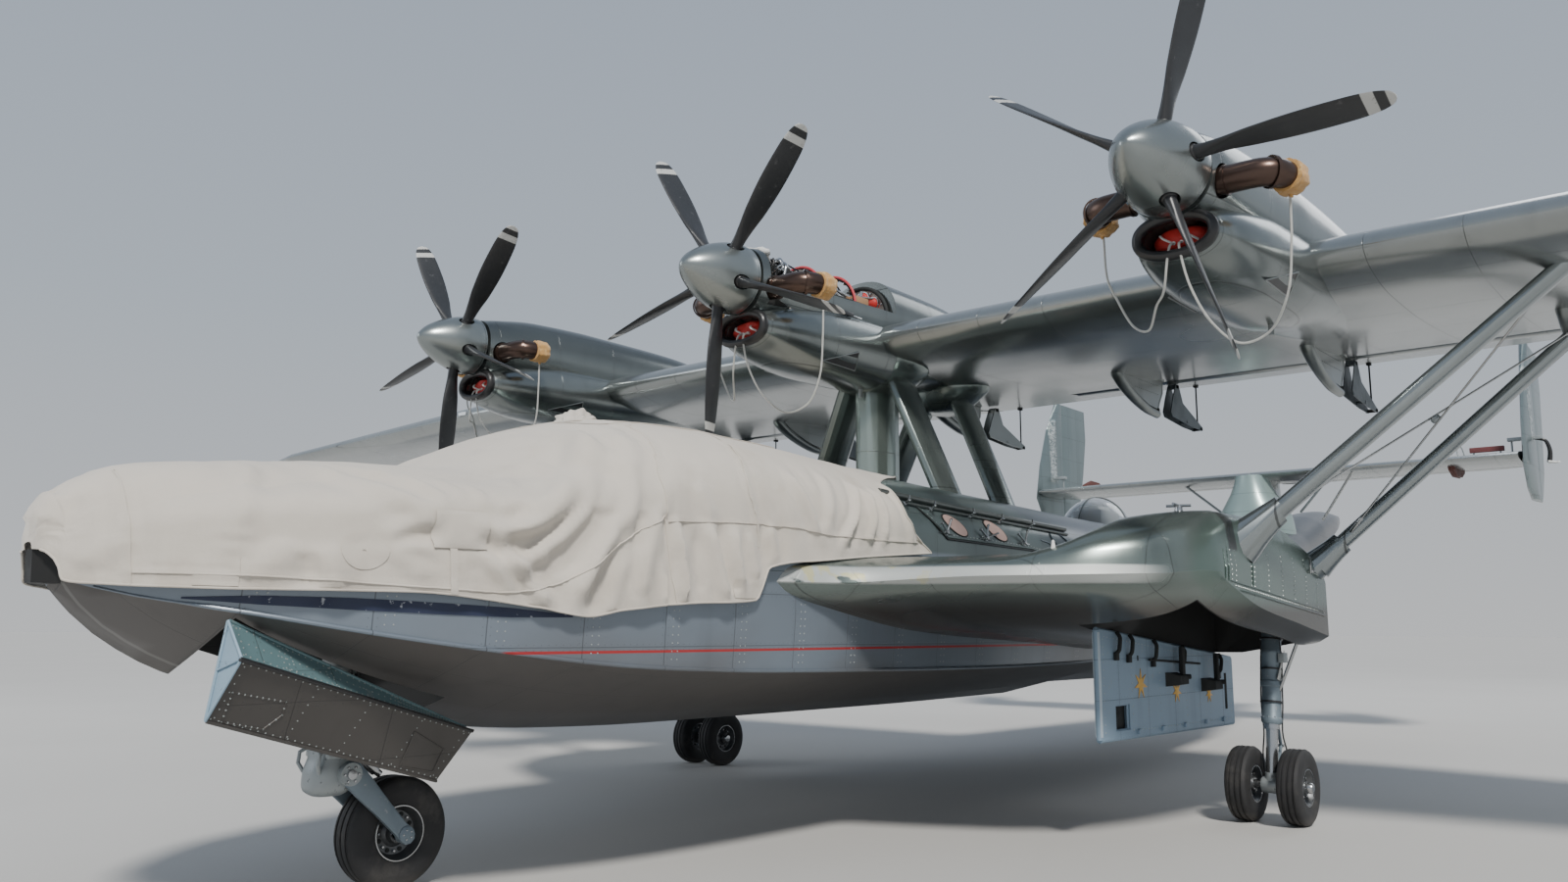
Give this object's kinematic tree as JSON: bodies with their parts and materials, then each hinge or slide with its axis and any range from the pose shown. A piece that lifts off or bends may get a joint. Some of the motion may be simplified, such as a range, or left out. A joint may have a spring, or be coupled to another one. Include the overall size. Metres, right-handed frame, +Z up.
{
  "type": "flying boat",
  "caption": "Amphibious flying boat with three turboprops on a strut-braced high wing, twin fins and stub sponsons, parked on its gear under a bow cover.",
  "frame": {"origin": "on the ground, at the middle of the bounding box in plan, on the centreline half way between bow and tail", "axes": "+X to port, the span; -Y to the bow, the length; +Z up, the shortest extent"},
  "size_m": [30, 21.95, 5.8188],
  "materials": {
    "hull": "satin",
    "silver": "satin",
    "primer": "satin",
    "engine": "satin",
    "gear_steel": "satin",
    "blade": "satin",
    "tyre": "matte",
    "black_rubber": "matte",
    "canvas": "matte",
    "rope": "matte",
    "clear": "gloss"
  },
  "bodies": {
    "airframe": {"hull": "hull", "bow_fender": "black_rubber", "bow_cover": "canvas", "deck_dome": "clear", "sponson_port": "silver", "sponson_stbd": "silver", "wing_centre": "silver", "wing_port": "silver", "wing_stbd": "silver", "nacelle_port": "silver", "engine_port": "engine", "nacelle_centre": "silver", "engine_centre": "engine", "nacelle_stbd": "silver", "engine_stbd": "engine", "cabane_front": "silver", "cabane_rear": "silver", "strut_front_port": "silver", "strut_front_stbd": "silver", "strut_rear_port": "silver", "strut_rear_stbd": "silver", "tailplane": "silver", "fin_port": "silver", "fin_stbd": "silver", "nose_leg": "gear_steel", "main_leg_port": "gear_steel", "main_leg_stbd": "gear_steel", "tie_rope_port_left": "rope", "tie_rope_port_right": "rope", "tie_rope_centre_left": "rope", "tie_rope_centre_right": "rope", "tie_rope_stbd_left": "rope", "tie_rope_stbd_right": "rope"},
    "prop_port": {"propeller_port": "blade"},
    "prop_centre": {"propeller_centre": "blade"},
    "prop_stbd": {"propeller_stbd": "blade"},
    "nose_steer": {"nose_fork": "gear_steel"},
    "nose_roll": {"nose_wheel": "tyre"},
    "wheels_port": {"main_wheels_port": "tyre"},
    "wheels_stbd": {"main_wheels_stbd": "tyre"},
    "nosedoor_port": {"nose_door_port": "primer"},
    "maindoor_port": {"main_door_port": "primer"},
    "maindoor_stbd": {"main_door_stbd": "primer"},
    "flaps_port": {"flap_port": "silver"},
    "flaps_stbd": {"flap_stbd": "silver"},
    "ail_port": {"aileron_port": "silver"},
    "ail_stbd": {"aileron_stbd": "silver"},
    "elev_port": {"elevator_port": "silver"},
    "elev_stbd": {"elevator_stbd": "silver"},
    "rud_port": {"rudder_port": "silver"},
    "rud_stbd": {"rudder_stbd": "silver"}
  },
  "joints": [
    {"name": "prop_port_spin", "type": "hinge", "parent": "airframe", "child": "prop_port", "pos_m": [3.784, -6.075, 4.465], "axis": [0, 1, 0], "continuous": true},
    {"name": "prop_centre_spin", "type": "hinge", "parent": "airframe", "child": "prop_centre", "pos_m": [0, -6.075, 4.465], "axis": [0, 1, 0], "continuous": true},
    {"name": "prop_stbd_spin", "type": "hinge", "parent": "airframe", "child": "prop_stbd", "pos_m": [-3.784, -6.075, 4.465], "axis": [0, 1, 0], "continuous": true},
    {"name": "nose_steering", "type": "hinge", "parent": "airframe", "child": "nose_steer", "pos_m": [0, -9.3, 0.8], "axis": [0, 0, 1], "range_deg": [-45, 45]},
    {"name": "nose_wheel_spin", "type": "hinge", "parent": "nose_steer", "child": "nose_roll", "pos_m": [0, -8.895, 0.33], "axis": [1, 0, 0], "continuous": true},
    {"name": "wheels_port_spin", "type": "hinge", "parent": "airframe", "child": "wheels_port", "pos_m": [3.195, -2.835, 0.3], "axis": [1, 0, 0], "continuous": true},
    {"name": "wheels_stbd_spin", "type": "hinge", "parent": "airframe", "child": "wheels_stbd", "pos_m": [-3.195, -2.835, 0.3], "axis": [1, 0, 0], "continuous": true},
    {"name": "nosedoor_port_hinge", "type": "hinge", "parent": "airframe", "child": "nosedoor_port", "pos_m": [0.74, -10.31, 1.58], "axis": [-0.1145, 0.9217, -0.3705], "range_deg": [0, 68]},
    {"name": "maindoor_port_hinge", "type": "hinge", "parent": "airframe", "child": "maindoor_port", "pos_m": [2.64, -3.52, 1.448], "axis": [0, -0.9954, 0.0958], "range_deg": [0, 28]},
    {"name": "maindoor_stbd_hinge", "type": "hinge", "parent": "airframe", "child": "maindoor_stbd", "pos_m": [-2.64, -3.52, 1.448], "axis": [0, 0.9954, -0.0958], "range_deg": [0, 28]},
    {"name": "flap_port_hinge", "type": "hinge", "parent": "airframe", "child": "flaps_port", "pos_m": [3.3, -1.0212, 4.2604], "axis": [-1, 0, 0], "range_deg": [0, 30]},
    {"name": "flap_stbd_hinge", "type": "hinge", "parent": "airframe", "child": "flaps_stbd", "pos_m": [-3.3, -1.0212, 4.2604], "axis": [-1, 0, 0], "range_deg": [0, 30]},
    {"name": "aileron_port_hinge", "type": "hinge", "parent": "airframe", "child": "ail_port", "pos_m": [6.25, -1.05534, 4.2602], "axis": [-0.9908, 0.1352, 0.0009], "range_deg": [-20, 20]},
    {"name": "aileron_stbd_hinge", "type": "hinge", "parent": "airframe", "child": "ail_stbd", "pos_m": [-6.25, -1.05534, 4.2602], "axis": [-0.9908, -0.1352, -0.0009], "range_deg": [-20, 20]},
    {"name": "elevator_port_hinge", "type": "hinge", "parent": "airframe", "child": "elev_port", "pos_m": [1, 7.391, 4.01], "axis": [-1, 0, 0], "range_deg": [-25, 20]},
    {"name": "elevator_stbd_hinge", "type": "hinge", "parent": "airframe", "child": "elev_stbd", "pos_m": [-1, 7.391, 4.01], "axis": [-1, 0, 0], "range_deg": [-25, 20]},
    {"name": "rudder_port_hinge", "type": "hinge", "parent": "airframe", "child": "rud_port", "pos_m": [3.82, 7.364, 4.5], "axis": [0, 0, 1], "range_deg": [-25, 25]},
    {"name": "rudder_stbd_hinge", "type": "hinge", "parent": "airframe", "child": "rud_stbd", "pos_m": [-3.82, 7.364, 4.5], "axis": [0, 0, 1], "range_deg": [-25, 25]}
  ],
  "couplings": [
    {"joint": "flap_stbd_hinge", "follows": "flap_port_hinge", "ratio": 1},
    {"joint": "aileron_stbd_hinge", "follows": "aileron_port_hinge", "ratio": -1},
    {"joint": "elevator_stbd_hinge", "follows": "elevator_port_hinge", "ratio": 1},
    {"joint": "rudder_stbd_hinge", "follows": "rudder_port_hinge", "ratio": 1},
    {"joint": "maindoor_stbd_hinge", "follows": "maindoor_port_hinge", "ratio": 1}
  ]
}
